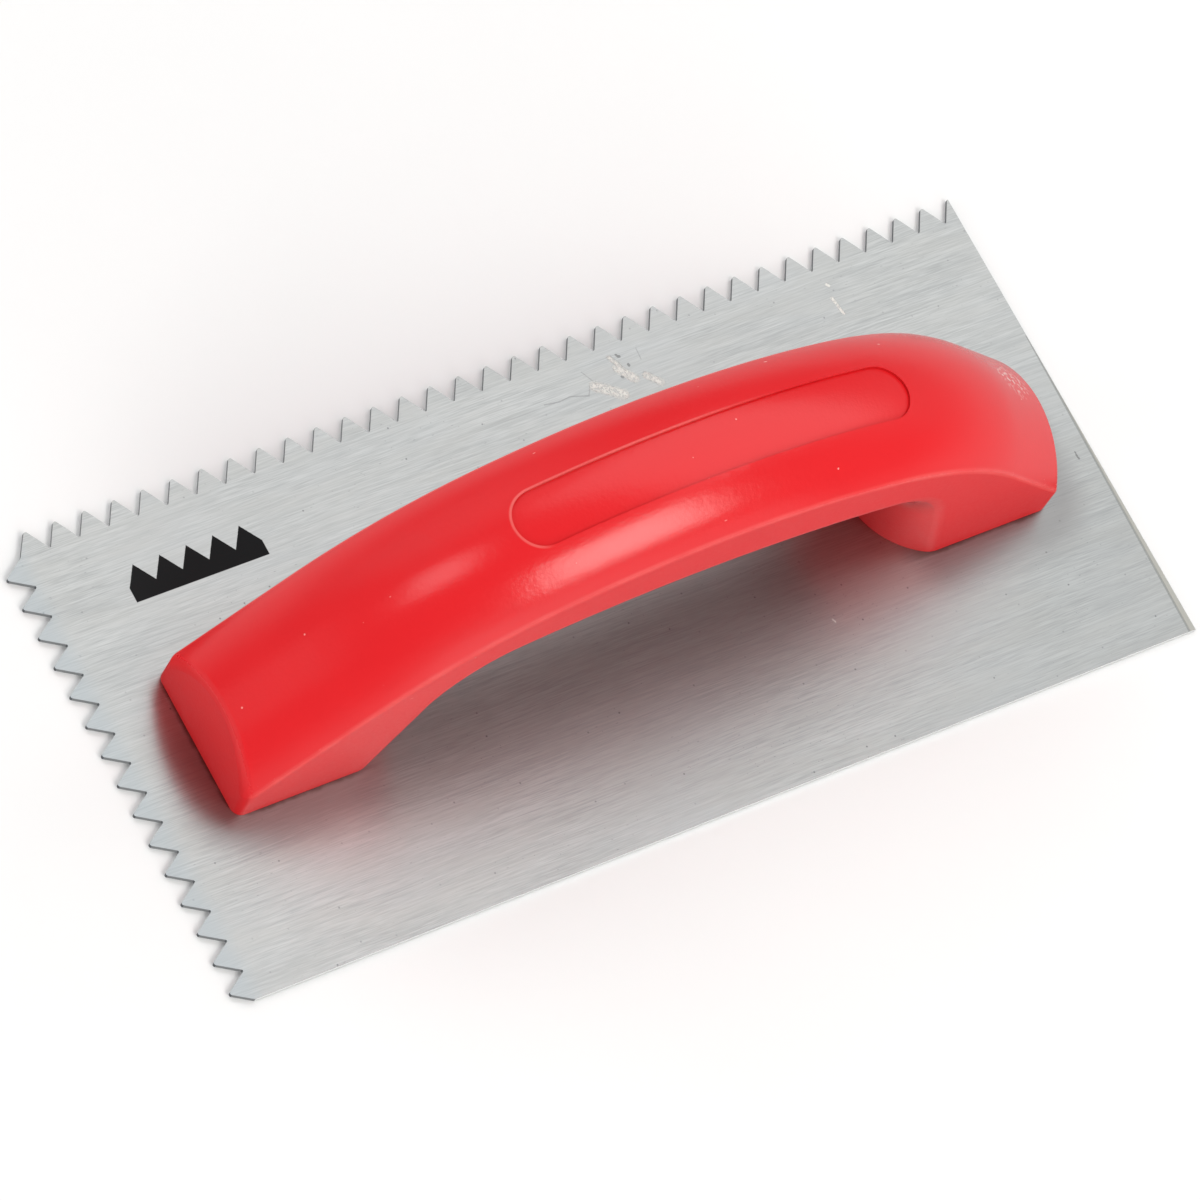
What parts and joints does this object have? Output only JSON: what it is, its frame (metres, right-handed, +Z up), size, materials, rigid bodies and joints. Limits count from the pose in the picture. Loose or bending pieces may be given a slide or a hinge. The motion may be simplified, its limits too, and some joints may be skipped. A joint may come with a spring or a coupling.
{
  "type": "notched trowel",
  "caption": "Hand trowel with a thin steel blade, V notches along one long and one short edge, and a moulded bridge handle screwed on from below.",
  "frame": {"origin": "middle of the blade's bounding box, on the flat underside of the blade", "axes": "+X along the blade from its toothed short edge to its plain one, +Y towards its toothed long edge, +Z up through the handle"},
  "size_m": [0.2258, 0.1032, 0.0625],
  "materials": {
    "blade_steel": "lengthwise brushed, lightly scratched",
    "handle_plastic": "satin moulded, fine grain",
    "screw_steel": "bright zinc plate"
  },
  "bodies": {
    "root": {"blade": "blade_steel", "handle": "handle_plastic", "screw_toothed_end_toothed_side": "screw_steel", "screw_toothed_end_plain_side": "screw_steel", "screw_plain_end_toothed_side": "screw_steel", "screw_plain_end_plain_side": "screw_steel"}
  },
  "joints": []
}
